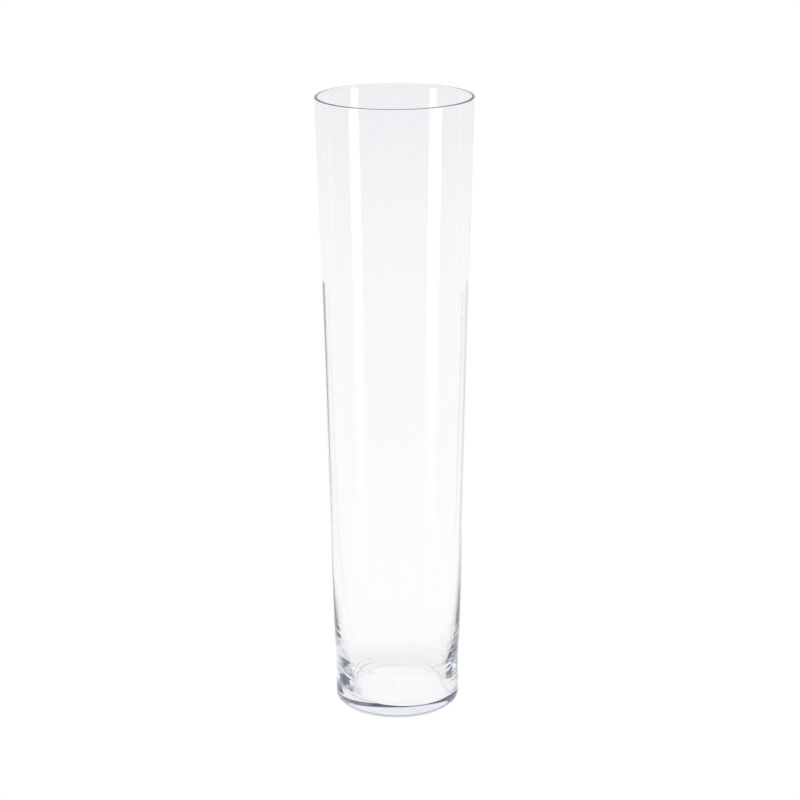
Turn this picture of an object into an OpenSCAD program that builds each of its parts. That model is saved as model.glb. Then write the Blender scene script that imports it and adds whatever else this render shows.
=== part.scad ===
// Tall tapered vase of clear glass, open at the top, with a thick heel and a thick flat bottom.
// It is one piece of glass, drawn as the zones that a glassmaker names: lip, side wall, heel,
// bottom and bearing ring. They meet face to face. Z is up, and the origin is the centre of the
// foot at table level. Sizes are in millimetres.

/* [Vase] */
// Overall height
height = 700; // [500:10:800]
// Outside diameter of the mouth
mouth_d = 172; // [160:1:190]
// Outside diameter of the foot
base_d = 140.8; // [140:0.2:150]

/* [Side wall] */
// Glass thickness of the upper wall
wall_t = 3; // [2:0.1:4]
// Height over which the thick heel thins out into the wall
thinning_h = 52; // [30:1:60]
// How long the heel's thickness is kept before it thins out (1 starts thinning at once)
thinning_power = 1.3; // [1:0.1:2]
// How far the outside swells just above the heel
shoulder = 1.6; // [0:0.1:3]
// Height over which that swelling is reached
shoulder_h = 25; // [15:1:40]
// How much of the taper is a flare towards the mouth, instead of a straight cone
flare = 3; // [0:0.1:6]

/* [Heel] */
// Height of the straight-sided heel
heel_h = 55; // [40:1:80]
// Glass thickness of the heel where it leaves the inner fillet
heel_t = 12.4; // [10:0.2:13]
// Radius of the outer corner between the heel and the underside
corner_r = 7; // [4:0.5:9]

/* [Lip] */
// Height of the lip
lip_h = 4; // [3:0.5:8]
// How far the rim's top slopes down towards the outside, in degrees
rim_slope = 9; // [4:1:14]
// Radius of the rim's fire-polished outer edge
rim_outer_r = 0.6; // [0.4:0.1:0.9]
// Radius of the rim's fire-polished inner edge
rim_inner_r = 0.5; // [0.3:0.1:0.9]

/* [Bottom] */
// Height of the inner floor above the table
floor_z = 12.4; // [10:0.1:16]
// Radius of the flat inner floor
floor_r = 53; // [50:0.5:56]
// Arc of the fillet that joins the floor to the wall (90 would meet the floor with no crease)
fillet_arc = 70; // [70:5:90]
// Radius of the dished push-up in the underside
pushup_r = 44; // [30:1:48]
// Depth of the push-up at its centre
pushup_h = 1; // [0.5:0.1:3]

/* [Bearing ring] */
// Height that the bearing ring lifts the underside off the table
ring_h = 0.4; // [0.4:0.1:1.5]
// Inside radius of the bearing ring
ring_inner_r = 50; // [49:0.5:52]
// Width of the bearing ring
ring_w = 11.5; // [8:0.5:11.5]
// Radius of the bearing ring's lower edges
ring_edge_r = 0.2; // [0.1:0.05:0.2]

/* [Hidden] */
$fn = 128;

glass = [0.86, 0.93, 0.96, 0.45];
mouth_r = mouth_d / 2;
base_r = base_d / 2;
lip_seam_z = height - lip_h;
taper = mouth_r - base_r - shoulder - flare;
fillet_r = (base_r - heel_t - floor_r) / (1 - cos(fillet_arc));
fillet_top_z = floor_z + fillet_r * sin(fillet_arc);
profile_steps = 16;
heel_steps = 6;

// The dish is a cap of a large sphere, so its arc needs many more steps than the other circles.
dish_sphere_r = (pow(pushup_r, 2) + pow(pushup_h, 2)) / (2 * pushup_h);
dish_steps = 1440;

// Outside radius of the wall above the heel, at a height z
function outer_r(z) =
    let (t = (z - heel_h) / (height - heel_h))
    base_r + shoulder * (1 - exp(-(z - heel_h) / shoulder_h)) + taper * t + flare * t * t;

// Thickness of the glass above the inner fillet, at a height z
function wall(z) =
    let (rise = max(0, z - fillet_top_z) / thinning_h)
    wall_t + (heel_t - wall_t) * exp(-pow(rise, thinning_power));

// Inside radius of the wall above the heel, at a height z
function inner_r(z) = outer_r(z) - wall(z);

// Heights of the side wall's profile points, closest together where the heel thins out
function station_z(i) = heel_h + (lip_seam_z - heel_h) * pow(i / profile_steps, 2);

// The rim: a short collar with a sloping top and fire-polished edges
module lip() {
    inner_edge = [mouth_r - wall_t + rim_inner_r, height - rim_inner_r];
    outer_x = mouth_r - rim_outer_r;
    drop = (outer_x - inner_edge.x) * tan(rim_slope) + (rim_outer_r - rim_inner_r) / cos(rim_slope);
    outer_edge = [outer_x, inner_edge.y - drop];
    top_normal = [sin(rim_slope), cos(rim_slope)];
    color(glass) rotate_extrude() {
        polygon([
            [inner_r(lip_seam_z), lip_seam_z],
            [outer_r(lip_seam_z), lip_seam_z],
            [mouth_r, outer_edge.y],
            outer_edge + rim_outer_r * top_normal,
            inner_edge + rim_inner_r * top_normal,
            [mouth_r - wall_t, inner_edge.y]
        ]);
        translate(outer_edge) circle(rim_outer_r);
        translate(inner_edge) circle(rim_inner_r);
    }
}

// The thin tapered wall between the heel and the lip
module sidewall() {
    outside = [for (i = [0:profile_steps]) [outer_r(station_z(i)), station_z(i)]];
    inside = [for (i = [profile_steps:-1:0]) [inner_r(station_z(i)), station_z(i)]];
    color(glass) rotate_extrude() polygon(concat(outside, inside));
}

// The thick ring of glass at the foot: straight outside with a rounded corner, and thinning
// upwards on the inside from a fillet
module heel() {
    flat_w = base_r - corner_r - floor_r;
    rise = (heel_h - fillet_top_z) / heel_steps;
    bore = [for (i = [0:heel_steps]) [base_r - wall(fillet_top_z + i * rise), fillet_top_z + i * rise]];
    over_top = [[bore[heel_steps].x, heel_h + 1], [0, heel_h + 1], [0, fillet_top_z]];
    color(glass) rotate_extrude() difference() {
        union() {
            translate([floor_r, ring_h]) square([flat_w, heel_h - ring_h]);
            translate([floor_r, ring_h + corner_r]) square([base_r - floor_r, heel_h - ring_h - corner_r]);
            translate([base_r - corner_r, ring_h + corner_r]) circle(corner_r);
        }
        polygon(concat(bore, over_top));
        translate([base_r - heel_t - fillet_r, fillet_top_z]) circle(fillet_r);
    }
}

// The thick flat bottom inside the heel, with the push-up dished into its underside
module bottom() {
    dish_centre_z = ring_h + pushup_h - dish_sphere_r;
    color(glass) rotate_extrude() difference() {
        translate([0, ring_h]) square([floor_r, floor_z - ring_h]);
        translate([0, dish_centre_z]) circle(dish_sphere_r, $fn = dish_steps);
    }
}

// The low ring under the foot that the vase stands on
module bearing_ring() {
    color(glass) rotate_extrude() {
        translate([ring_inner_r + ring_edge_r, 0]) square([ring_w - 2 * ring_edge_r, ring_h]);
        translate([ring_inner_r, ring_edge_r]) square([ring_w, ring_h - ring_edge_r]);
        for (r = [ring_inner_r + ring_edge_r, ring_inner_r + ring_w - ring_edge_r]) {
            translate([r, ring_edge_r]) circle(ring_edge_r);
        }
    }
}

lip();
sidewall();
heel();
bottom();
bearing_ring();
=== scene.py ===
import math

import bpy
from mathutils import Matrix, Vector, noise


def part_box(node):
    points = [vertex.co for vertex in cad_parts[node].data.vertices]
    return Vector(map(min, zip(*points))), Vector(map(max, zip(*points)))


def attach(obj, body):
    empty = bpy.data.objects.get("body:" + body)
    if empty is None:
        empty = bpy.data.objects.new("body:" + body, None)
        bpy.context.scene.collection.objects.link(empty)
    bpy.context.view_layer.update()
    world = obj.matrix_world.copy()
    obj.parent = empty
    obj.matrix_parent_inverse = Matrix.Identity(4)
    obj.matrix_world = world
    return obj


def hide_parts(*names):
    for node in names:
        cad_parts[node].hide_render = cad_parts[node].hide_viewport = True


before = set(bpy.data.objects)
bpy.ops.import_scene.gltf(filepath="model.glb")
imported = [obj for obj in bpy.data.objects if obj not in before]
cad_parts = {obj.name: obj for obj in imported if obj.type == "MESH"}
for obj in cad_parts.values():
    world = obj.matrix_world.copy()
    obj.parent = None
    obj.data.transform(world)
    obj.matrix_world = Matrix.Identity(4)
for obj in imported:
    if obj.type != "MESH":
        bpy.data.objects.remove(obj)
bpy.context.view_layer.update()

# Lengths are in metres, and angles that have a name or stand in a list are in degrees.
MM = 0.001

# ---- Sizes ----

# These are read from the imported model.
LIP_LO, LIP_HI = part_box("lip")
HEEL_LO, HEEL_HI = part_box("heel")
BOTTOM_LO, BOTTOM_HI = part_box("bottom")
RING_LO, RING_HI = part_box("bearing_ring")
HEIGHT = LIP_HI.z
MOUTH_R = LIP_HI.x
LIP_SEAM_Z = LIP_LO.z
BASE_R = HEEL_HI.x
HEEL_H = HEEL_HI.z
UNDERSIDE_Z = RING_HI.z
FLOOR_R = BOTTOM_HI.x
FLOOR_Z = BOTTOM_HI.z
RING_OUTER_R = RING_HI.x

# These repeat the driving dimensions of the design.
WALL_T = 3 * MM
THINNING_H = 52 * MM
THINNING_POWER = 1.3
SHOULDER = 1.6 * MM
SHOULDER_H = 25 * MM
FLARE = 3 * MM
HEEL_T = 12.4 * MM
FILLET_ARC = 70
CORNER_R = 7 * MM
RIM_SLOPE = 9
RIM_OUTER_R = 0.6 * MM
RIM_INNER_R = 0.5 * MM
RING_INNER_R = 50 * MM
TAPER = MOUTH_R - BASE_R - SHOULDER - FLARE
FILLET_R = (BASE_R - HEEL_T - FLOOR_R) / (1 - math.cos(math.radians(FILLET_ARC)))
FILLET_TOP_Z = FLOOR_Z + FILLET_R * math.sin(math.radians(FILLET_ARC))

# The underside differs from the design's. The push-up is as deep, measured from the table, but it
# runs out smoothly to the ring, and the ring's outer edge is rounder, 0.35 mm instead of 0.2 mm.
PUSHUP_H = 1.4 * MM
RING_EDGE_R = 0.35 * MM

# How far either side of the ring's inner edge the push-up blends into it, how high the glass is
# at that edge, and how far outside the ring its side meets the underside.
RING_RUN_OUT = 0.4 * MM
RING_INNER_Z = 0.01 * MM
RING_LEDGE = 0.25 * MM

# How finely the profile is divided. The rows of the push-up crowd a little towards its centre.
TURN_STEPS = 224
WALL_ROWS = 90
HEEL_ROWS = 16
FLOOR_ROWS = 40
DISH_ROWS = 70
DISH_CROWDING = 1.2
RING_ROWS = 8
RING_EDGE_STEPS = 7
RIM_ARC_STEPS = 12
RIM_TOP_ROWS = 10
RIM_OUTSIDE_ROWS = 10
RIM_INSIDE_ROWS = 16
CORNER_STEPS = 14
FILLET_STEPS = 14


# ---- The profile of the glass, as points (radius, height) ----


def outer_r(z):
    """Outside radius of the heel and the wall above it."""
    if z <= HEEL_H:
        return BASE_R
    t = (z - HEEL_H) / (HEIGHT - HEEL_H)
    return BASE_R + SHOULDER * (1 - math.exp(-(z - HEEL_H) / SHOULDER_H)) + TAPER * t + FLARE * t * t


def wall(z):
    """Thickness of the glass above the inner fillet."""
    rise = max(0.0, z - FILLET_TOP_Z) / THINNING_H
    return WALL_T + (HEEL_T - WALL_T) * math.exp(-(rise**THINNING_POWER))


def inner_point(z):
    """A point on the inside of the wall, above the inner fillet."""
    return outer_r(z) - wall(z), z


def arc(centre, radius, start, end, steps):
    """Points on an arc, from one angle to another."""
    angles = [math.radians(start + (end - start) * i / steps) for i in range(steps + 1)]
    return [(centre[0] + radius * math.cos(a), centre[1] + radius * math.sin(a)) for a in angles]


def line(start, end, steps):
    """Points on a straight stretch, without its two ends."""
    return [
        (start[0] + (end[0] - start[0]) * i / steps, start[1] + (end[1] - start[1]) * i / steps)
        for i in range(1, steps)
    ]


def wall_heights():
    """Heights from the heel to the lip, closest together at both ends."""
    steps = [i / WALL_ROWS for i in range(WALL_ROWS + 1)]
    return [HEEL_H + (LIP_SEAM_Z - HEEL_H) * t**2 * (3 - 2 * t) for t in steps]


def underside_profile():
    """From the centre of the push-up, over the bearing ring, to the outer corner."""
    sphere_r = (RING_INNER_R**2 + PUSHUP_H**2) / (2 * PUSHUP_H)
    dish = []
    for i in range(1, DISH_ROWS + 1):
        r = (RING_INNER_R - RING_RUN_OUT) * (i / DISH_ROWS) ** DISH_CROWDING
        dish.append((r, PUSHUP_H - sphere_r + math.sqrt(sphere_r**2 - r**2)))
    start = (RING_INNER_R + RING_RUN_OUT, 0.0)
    end = (RING_OUTER_R - RING_EDGE_R, 0.0)
    ring = [(RING_INNER_R, RING_INNER_Z), start] + line(start, end, RING_ROWS)
    ring += arc((end[0], RING_EDGE_R), RING_EDGE_R, 270, 350, RING_EDGE_STEPS)
    return dish + ring + [(RING_OUTER_R + RING_LEDGE, UNDERSIDE_Z)]


def rim_profile():
    """Over the cut and fire-polished rim, whose top slopes down towards the outside."""
    lean = math.radians(RIM_SLOPE)
    inner = (MOUTH_R - WALL_T + RIM_INNER_R, HEIGHT - RIM_INNER_R)
    outer_x = MOUTH_R - RIM_OUTER_R
    drop = (outer_x - inner[0]) * math.tan(lean) + (RIM_OUTER_R - RIM_INNER_R) / math.cos(lean)
    over = arc((outer_x, inner[1] - drop), RIM_OUTER_R, 0, 90 - RIM_SLOPE, RIM_ARC_STEPS)
    under = arc(inner, RIM_INNER_R, 90 - RIM_SLOPE, 180, RIM_ARC_STEPS)
    up = line((outer_r(LIP_SEAM_Z), LIP_SEAM_Z), over[0], RIM_OUTSIDE_ROWS)
    top = line(over[-1], under[0], RIM_TOP_ROWS)
    down = line(under[-1], inner_point(LIP_SEAM_Z), RIM_INSIDE_ROWS)
    return up + over + top + under + down


def outside_profile():
    """From the outer corner up the heel and the wall, and over the rim."""
    corner_z = UNDERSIDE_Z + CORNER_R
    points = arc((BASE_R - CORNER_R, corner_z), CORNER_R, -90, 0, CORNER_STEPS)
    points += line((BASE_R, corner_z), (BASE_R, HEEL_H), HEEL_ROWS)
    return points + [(outer_r(z), z) for z in wall_heights()] + rim_profile()


def inside_profile():
    """From the lip down the inside of the wall, and over the fillet to the flat floor."""
    points = [inner_point(z) for z in reversed(wall_heights())]
    step = (HEEL_H - FILLET_TOP_Z) / HEEL_ROWS
    points += [inner_point(FILLET_TOP_Z + step * i) for i in range(HEEL_ROWS - 1, 0, -1)]
    points += arc((BASE_R - HEEL_T - FILLET_R, FILLET_TOP_Z), FILLET_R, 0, -FILLET_ARC, FILLET_STEPS)
    return points + line((FLOOR_R, FLOOR_Z), (0, FLOOR_Z), FLOOR_ROWS)


# ---- The skins of the glass ----

# Blown glass is never true. The inside is drawn off-centre at the floor, the floor slopes down
# towards +X, and both skins are slightly wavy, most of all where the glass is thick.
FLOOR_SHIFT = 3.0 * MM
FLOOR_SLOPE = 0.045

# How far up from the floor the shift, the slope and the heel's own wave reach, and how far from
# the foot and from the rim the other waves fade out.
SHIFT_REACH = 8 * MM
SLOPE_REACH = 30 * MM
HEEL_WAVE_REACH = 60 * MM
WAVE_FADE = 10 * MM

# Each wave's size, the width and the height of its cells, and its place in the noise.
SKIN_WAVE = (0.03 * MM, 0.03, 0.12, 3.0)
WALL_WAVE = (0.05 * MM, 0.04, 0.15, 7.0)
STREAKS = (0.012 * MM, 0.006, 0.4, 11.0)
HEEL_WAVE = (0.15 * MM, 0.016, 0.02, 5.0)
FLOOR_WAVE = (0.12 * MM, 0.02, 0.02, 9.0)

# The small round mark that the mould leaves on the underside.
MARK_X = -4.6 * MM
MARK_R = 1.3 * MM
MARK_H = 0.2 * MM


def wave(kind, r, z, a):
    """How far one kind of wave moves a point of a round surface."""
    size, across, along, seed = kind
    place = Vector((r * math.sin(a) / across + seed, -r * math.cos(a) / across, z / along))
    return size * noise.noise(place)


def outer_skin(r, z, a):
    """The outside, pulled in by a fraction of a hair here and there."""
    r -= (SKIN_WAVE[0] + wave(SKIN_WAVE, r, z, a)) / 2 * min(1.0, z / WAVE_FADE)
    return r * math.sin(a), -r * math.cos(a), z


def under_skin(r, z, a):
    """The underside, with the mark just off its centre."""
    x, y = r * math.sin(a), -r * math.cos(a)
    mark = MARK_H * math.exp(-((x - MARK_X) ** 2 + y**2) / MARK_R**2)
    return x, y, z - mark


def inner_skin(r, z, a):
    """The inside: wavy, off-centre at the floor, and sloping there."""
    rise = z - FLOOR_Z
    sides = min(1.0, r / FLOOR_R) ** 2
    thick = math.exp(-((rise / HEEL_WAVE_REACH) ** 2))
    push = wave(WALL_WAVE, r, z, a) + wave(STREAKS, r, z, a) + thick * sides * wave(HEEL_WAVE, r, z, a)
    r += push * min(1.0, (HEIGHT - z) / WAVE_FADE)
    x = r * math.sin(a) + FLOOR_SHIFT * math.exp(-rise / SHIFT_REACH)
    z -= FLOOR_SLOPE * x * math.exp(-((rise / SLOPE_REACH) ** 2))
    z += (1 - sides) * wave(FLOOR_WAVE, r, z, a)
    return x, -r * math.cos(a), z


def lathe(name, rows, first, last):
    """A closed skin turned round Z, from rows of (radius, height, skin) between two end points."""
    verts = []
    for r, z, skin in rows:
        verts += [skin(r, z, 2 * math.pi * k / TURN_STEPS) for k in range(TURN_STEPS)]
    end_row = len(verts) - TURN_STEPS
    first_index, last_index = len(verts), len(verts) + 1
    verts += [first, last]
    faces = []
    for k in range(TURN_STEPS):
        n = (k + 1) % TURN_STEPS
        faces.append((first_index, n, k))
        faces.append((last_index, end_row + k, end_row + n))
        for row in range(0, end_row, TURN_STEPS):
            faces.append((row + k, row + n, row + TURN_STEPS + n, row + TURN_STEPS + k))
    mesh = bpy.data.meshes.new(name)
    mesh.from_pydata(verts, [], faces)
    mesh.validate()
    mesh.shade_smooth()
    obj = bpy.data.objects.new(name, mesh)
    bpy.context.scene.collection.objects.link(obj)
    return obj


def glass_vessel():
    """The whole vase as one skin of glass."""
    stretches = (
        (underside_profile(), under_skin),
        (outside_profile(), outer_skin),
        (inside_profile(), inner_skin),
    )
    rows = [(r, z, skin) for profile, skin in stretches for r, z in profile]
    floor_centre = (FLOOR_SHIFT, 0, FLOOR_Z - FLOOR_SLOPE * FLOOR_SHIFT)
    return lathe("glass_vessel", rows, (0, 0, PUSHUP_H), floor_centre)


# ---- The glass itself ----

GLASS_IOR = 1.52
DEPTH_COLOUR = (0.84, 0.87, 0.95, 1)
DEPTH_DENSITY = 3.0
STREAK_TINT = (0.988, 0.992, 0.996, 1)
SMEAR_ROUGHNESS = 0.05
WORN_ROUGHNESS = 0.1
WORN_H = 0.3 * MM


def new_node(mat, kind, **values):
    """Add a node to a material and set its inputs, whose names have _ for each space."""
    node = mat.node_tree.nodes.new(kind)
    for name, value in values.items():
        node.inputs[name.replace("_", " ")].default_value = value
    return node


def glass_material():
    """Clear glass with faint vertical drawing streaks, a few hazy smears and a worn foot."""
    mat = bpy.data.materials.new("clear_glass")
    mat.use_nodes = True
    link = mat.node_tree.links.new
    bsdf = mat.node_tree.nodes["Principled BSDF"]
    bsdf.inputs["IOR"].default_value = GLASS_IOR
    bsdf.inputs["Transmission Weight"].default_value = 1.0
    depth = new_node(mat, "ShaderNodeVolumeAbsorption", Color=DEPTH_COLOUR, Density=DEPTH_DENSITY)
    link(depth.outputs[0], mat.node_tree.nodes["Material Output"].inputs["Volume"])
    place = new_node(mat, "ShaderNodeTexCoord")

    # Streaks: noise drawn out along the height, as a tint just off white.
    stretch = new_node(mat, "ShaderNodeMapping", Scale=(1, 1, 0.04))
    streaks = new_node(mat, "ShaderNodeTexNoise", Scale=260, Detail=3)
    tint = new_node(mat, "ShaderNodeValToRGB")
    low, high = tint.color_ramp.elements
    low.position, low.color = 0.35, STREAK_TINT
    high.position, high.color = 0.65, (1, 1, 1, 1)
    link(place.outputs["Object"], stretch.inputs["Vector"])
    link(stretch.outputs["Vector"], streaks.inputs["Vector"])
    link(streaks.outputs["Fac"], tint.inputs["Fac"])
    link(tint.outputs["Color"], bsdf.inputs["Base Color"])

    # Smears: only the peaks of a coarse noise are rough.
    smears = new_node(mat, "ShaderNodeTexNoise", Scale=28, Detail=5)
    haze = new_node(mat, "ShaderNodeMapRange", From_Min=0.58, From_Max=0.75, To_Max=SMEAR_ROUGHNESS)
    link(place.outputs["Object"], smears.inputs["Vector"])
    link(smears.outputs["Fac"], haze.inputs["Value"])

    # Wear: the lowest face is rough, and the roughness ends just above it.
    height = new_node(mat, "ShaderNodeSeparateXYZ")
    worn = new_node(mat, "ShaderNodeMapRange", From_Max=WORN_H, To_Min=WORN_ROUGHNESS, To_Max=0.0)
    link(place.outputs["Object"], height.inputs["Vector"])
    link(height.outputs["Z"], worn.inputs["Value"])

    rough = new_node(mat, "ShaderNodeMath")
    rough.operation = "MAXIMUM"
    link(haze.outputs["Result"], rough.inputs[0])
    link(worn.outputs["Result"], rough.inputs[1])
    link(rough.outputs[0], bsdf.inputs["Roughness"])
    return mat


vessel = glass_vessel()
vessel.data.materials.append(glass_material())
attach(vessel, "root")
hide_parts("lip", "sidewall", "heel", "bottom", "bearing_ring")


# ---- Tools for the studio ----


def emission(name, colour, strength=1.0):
    """A material that only gives off light, or next to none for a dark cloth."""
    mat = bpy.data.materials.new(name)
    mat.use_nodes = True
    mat.node_tree.nodes.clear()
    light = new_node(mat, "ShaderNodeEmission", Color=(*colour, 1), Strength=strength)
    out = new_node(mat, "ShaderNodeOutputMaterial")
    mat.node_tree.links.new(light.outputs[0], out.inputs["Surface"])
    return mat


def axis_distance(mat):
    """The output of a node that measures how far the shaded point is from the foot's centre."""
    place = new_node(mat, "ShaderNodeNewGeometry")
    length = new_node(mat, "ShaderNodeVectorMath")
    length.operation = "LENGTH"
    mat.node_tree.links.new(place.outputs["Position"], length.inputs[0])
    return length.outputs["Value"]


def seen_by(obj, camera=False, glossy=False, transmission=False):
    """Show a stage object only to these rays."""
    obj.visible_camera = camera
    obj.visible_glossy = glossy
    obj.visible_transmission = transmission
    obj.visible_diffuse = False
    obj.visible_shadow = False
    obj.visible_volume_scatter = False


def stage_mesh(name, verts, faces, material):
    """A mesh that belongs to the stage."""
    mesh = bpy.data.meshes.new(name)
    mesh.from_pydata(verts, [], faces)
    mesh.materials.append(material)
    obj = bpy.data.objects.new(name, mesh)
    bpy.context.scene.collection.objects.link(obj)
    return obj


def polar(radius, azimuth, z):
    """A point at an angle round the vase, from the camera's side towards +X."""
    a = math.radians(azimuth)
    return (radius * math.sin(a), -radius * math.cos(a), z)


def band(name, start, end, a0, a1, material, steps):
    """A surface swept round the axis from one azimuth to another, between two (radius, height)."""
    verts = []
    for i in range(steps + 1):
        a = a0 + (a1 - a0) * i / steps
        verts += [polar(start[0], a, start[1]), polar(end[0], a, end[1])]
    faces = [(2 * i, 2 * i + 1, 2 * i + 3, 2 * i + 2) for i in range(steps)]
    return stage_mesh(name, verts, faces, material)


# ---- The white floor and backdrop, which only the camera sees ----

STUDIO_R = 14.0
STUDIO_STEPS = 96
AXIS_R = 0.1 * MM
TABLE_Z = -0.4 * MM
CLOTH_Z = -0.2 * MM
BACKDROP_LOW_Z = -0.1

white = emission("studio_white", (1, 1, 1))
floor = band("floor", (AXIS_R, TABLE_Z), (STUDIO_R, TABLE_Z), 0, 360, white, STUDIO_STEPS)
seen_by(floor, camera=True)
dome = band("backdrop", (STUDIO_R, BACKDROP_LOW_Z), (STUDIO_R, STUDIO_R), 0, 360, white, STUDIO_STEPS)
seen_by(dome, camera=True)

# ---- The floor's light, which only the glass sees ----

# How bright the floor is at each distance from the vase's axis, up to GLOW_REACH. The dip is the
# contact shadow round the foot. The lift, further out, evens the floor with the world behind it.
GLOW_REACH = 4.0
GLOW = [
    (0.0, 0.99), (0.067, 0.98), (0.074, 0.9), (0.096, 0.9), (0.128, 0.985), (0.28, 0.985),
    (1.14, 0.962), (2.2, 0.935), (2.7, 0.918), (3.68, 0.876), (GLOW_REACH, 0.87),
]
LIFT = 0.04
LIFT_END = 10.0
FAR_TINT = (1.0, 1.01, 1.03, 1)


def glow_material():
    """The floor's light: brightest at the vase, and falling away behind it and around it."""
    mat = emission("floor_glow", (1, 1, 1))
    link = mat.node_tree.links.new
    light = mat.node_tree.nodes["Emission"]
    distance = axis_distance(mat)
    share = new_node(mat, "ShaderNodeMath")
    share.operation = "DIVIDE"
    share.inputs[1].default_value = GLOW_REACH
    link(distance, share.inputs[0])

    ramp = new_node(mat, "ShaderNodeFloatCurve")
    curve = ramp.mapping.curves[0]
    points = [(far / GLOW_REACH, strength) for far, strength in GLOW]
    curve.points[0].location, curve.points[1].location = points[0], points[-1]
    for point in points[1:-1]:
        curve.points.new(*point)
    for point in curve.points:
        point.handle_type = "VECTOR"
    ramp.mapping.update()
    link(share.outputs[0], ramp.inputs["Value"])

    lift = new_node(mat, "ShaderNodeMapRange", From_Min=GLOW_REACH, From_Max=LIFT_END, To_Max=LIFT)
    link(distance, lift.inputs["Value"])
    total = new_node(mat, "ShaderNodeMath")
    link(ramp.outputs[0], total.inputs[0])
    link(lift.outputs["Result"], total.inputs[1])
    link(total.outputs[0], light.inputs["Strength"])

    tint = new_node(mat, "ShaderNodeValToRGB")
    near, far = tint.color_ramp.elements
    near.color, far.color = (1, 1, 1, 1), FAR_TINT
    link(share.outputs[0], tint.inputs["Fac"])
    link(tint.outputs["Color"], light.inputs["Color"])
    return mat


glow_floor = band(
    "floor_glow", (AXIS_R, TABLE_Z), (STUDIO_R, TABLE_Z), 0, 360, glow_material(), STUDIO_STEPS
)
seen_by(glow_floor, glossy=True, transmission=True)

# ---- Cloths on the floor, for the thin dark lines along the edges of the glass ----

# Each corner of an outline is a distance behind the foot's left or right edge and an angle
# outwards from straight back. Only rays that the outermost glass bends that far out reach it.
EDGE_LEFT = [(0.35, 21), (0.6, 18), (1.88, 16), (1.88, 28), (0.6, 24)]
EDGE_RIGHT = [(0.08, 15), (1.88, 15), (1.88, 28), (0.3, 34), (0.08, 34)]
EDGE_DARK = (0.1, 0.13, 0.18)
EDGE_PALE = (0.6, 0.62, 0.66)


def edge_cloth(name, side, outline, material):
    """A cloth on the floor that one edge of the glass shows: the left (-1) or the right (1)."""
    verts = []
    for distance, angle in outline:
        a = math.radians(angle)
        verts.append((side * (BASE_R + distance * math.sin(a)), distance * math.cos(a), CLOTH_Z))
    cloth = stage_mesh(name, verts, [tuple(range(len(verts)))], material)
    seen_by(cloth, transmission=True)


edge_cloth("flag_left", -1, EDGE_LEFT, emission("flag_dark", EDGE_DARK))
edge_cloth("flag_right", 1, EDGE_RIGHT, emission("flag_pale", EDGE_PALE))

# ---- The dark room, which the thick foot and the rim pick up ----

# Each cloth's first and last azimuth, and its lower and upper edge. The gap low down on the left
# keeps the cloths from showing straight through the vase when it is seen from its right side.
ROOM_R = 6.0
ROOM_TOP = 8.5
CLOTH_STEPS = 16
CEILING_STEPS = 48
CLOTHS = (
    ("right", 84, 124, 0.0, ROOM_TOP),
    ("left", 232, 262, 0.0, ROOM_TOP),
    ("left_gap", 262, 278, 2.0, ROOM_TOP),
    ("front_left", 278, 290, 0.0, ROOM_TOP),
    ("front_left_low", 290, 296, 0.0, 0.75),
    ("back", 138, 232, 4.2, ROOM_TOP),
)
SHADE = (290, 342, 0.4, 3.2)
NAVY = (0.035, 0.06, 0.13)
SLATE = (0.1, 0.14, 0.25)
CEILING_GREY = (0.05, 0.05, 0.05)

navy = emission("dark_cloth", NAVY)
for name, a0, a1, z0, z1 in CLOTHS:
    cloth = band(f"cloth_{name}", (ROOM_R, z0), (ROOM_R, z1), a0, a1, navy, CLOTH_STEPS)
    seen_by(cloth, glossy=True, transmission=True)

# A paler cloth, which the right-hand side of the foot shows by refraction alone.
a0, a1, z0, z1 = SHADE
slate = emission("shade", SLATE)
shade = band("front_left_shade", (ROOM_R, z0), (ROOM_R, z1), a0, a1, slate, CLOTH_STEPS)
seen_by(shade, transmission=True)

black = emission("ceiling", CEILING_GREY)
ceiling = band("ceiling", (AXIS_R, ROOM_TOP), (ROOM_R, ROOM_TOP), 0, 360, black, CEILING_STEPS)
seen_by(ceiling, glossy=True, transmission=True)

# ---- Two tall softboxes near the camera, and the sheen that each lays on the floor ----

# Each softbox's middle azimuth, and half the angle that it spans. Its upper part is left out of
# what shows through the glass, where it would make white patches in the foot.
SOFTBOXES = (("left", -62.0), ("right", 64.5))
SOFTBOX_HALF = 6.7
SOFTBOX_R = 2.1
SOFTBOX_TOP = 2.2
SOFTBOX_CLEAR_TOP = 0.45
SOFTBOX_STRENGTH = 2.5
SOFTBOX_STEPS = 8
SHEEN_FROM = 0.4
SHEEN_NEAR_STRENGTH = 0.98
SHEEN_FAR_STRENGTH = 1.9
SHEEN_STEPS = 12


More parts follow.
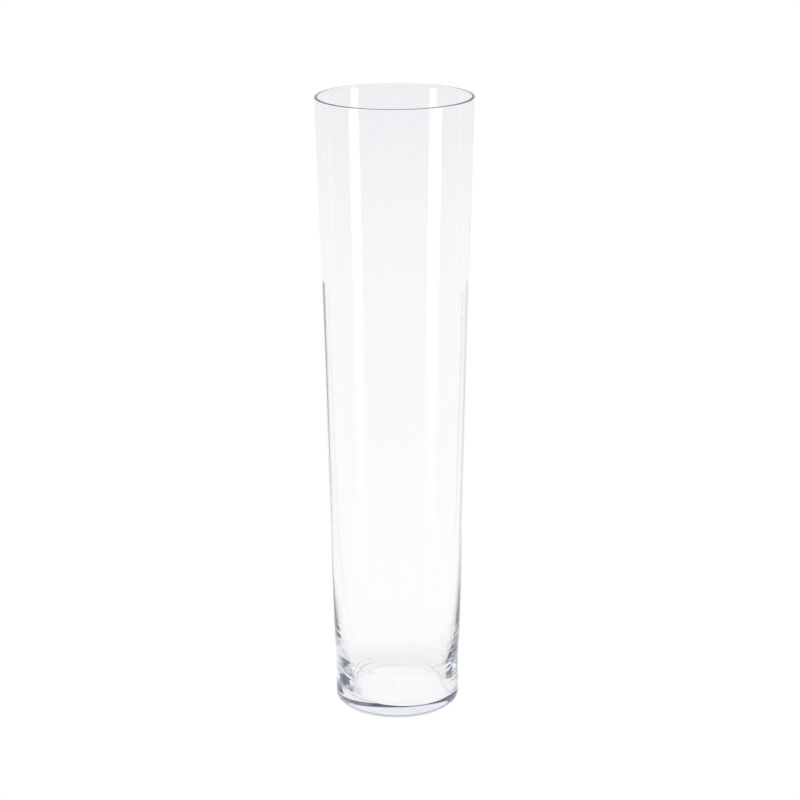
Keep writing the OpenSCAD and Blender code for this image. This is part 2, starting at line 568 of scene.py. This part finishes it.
def sheen_material():
    """The light on the floor in front of a softbox, which grows towards it."""
    mat = emission("floor_sheen", (1, 1, 1))
    grow = new_node(
        mat, "ShaderNodeMapRange", From_Min=SHEEN_FROM, From_Max=SOFTBOX_R,
        To_Min=SHEEN_NEAR_STRENGTH, To_Max=SHEEN_FAR_STRENGTH,
    )
    mat.node_tree.links.new(axis_distance(mat), grow.inputs["Value"])
    mat.node_tree.links.new(grow.outputs["Result"], mat.node_tree.nodes["Emission"].inputs["Strength"])
    return mat


strip = emission("softbox", (1, 1, 1), SOFTBOX_STRENGTH)
sheen = sheen_material()
for name, middle in SOFTBOXES:
    a0, a1 = middle - SOFTBOX_HALF, middle + SOFTBOX_HALF
    low, clear, high = (SOFTBOX_R, 0.0), (SOFTBOX_R, SOFTBOX_CLEAR_TOP), (SOFTBOX_R, SOFTBOX_TOP)
    box = band(f"softbox_{name}", low, clear, a0, a1, strip, SOFTBOX_STEPS)
    seen_by(box, glossy=True, transmission=True)
    top = band(f"softbox_top_{name}", clear, high, a0, a1, strip, SOFTBOX_STEPS)
    seen_by(top, glossy=True)
    shine = band(f"sheen_{name}", (SHEEN_FROM, CLOTH_Z), (SOFTBOX_R, CLOTH_Z), a0, a1, sheen, SHEEN_STEPS)
    seen_by(shine, glossy=True, transmission=True)

# ---- The world, the bounces and the camera ----

WORLD_COLOUR = (0.90, 0.90, 0.94, 1)

scene = bpy.context.scene
world = bpy.data.worlds.new("studio")
world.use_nodes = True
world.node_tree.nodes["Background"].inputs["Color"].default_value = WORLD_COLOUR
scene.world = world
scene.view_settings.view_transform = "Standard"
scene.cycles.max_bounces = 24
scene.cycles.transmission_bounces = 24
scene.cycles.glossy_bounces = 16

# The camera stands in front of the vase and above its rim, looks down, and leans very slightly.
CAMERA_PLACE = (4.5 * MM, -3.377 * HEIGHT, 1.1023)
CAMERA_DOWN = 17.466
CAMERA_ROLL = -0.25
CAMERA_LENS = 99.9
CAMERA_SENSOR = 36

cam_data = bpy.data.cameras.new("camera")
cam_data.sensor_width = CAMERA_SENSOR
cam_data.lens = CAMERA_LENS
camera = bpy.data.objects.new("camera", cam_data)
scene.collection.objects.link(camera)
pitch = Matrix.Rotation(math.radians(90 - CAMERA_DOWN), 3, "X")
roll = Matrix.Rotation(math.radians(CAMERA_ROLL), 3, "Z")
camera.location = CAMERA_PLACE
camera.rotation_euler = (pitch @ roll).to_euler()
scene.camera = camera
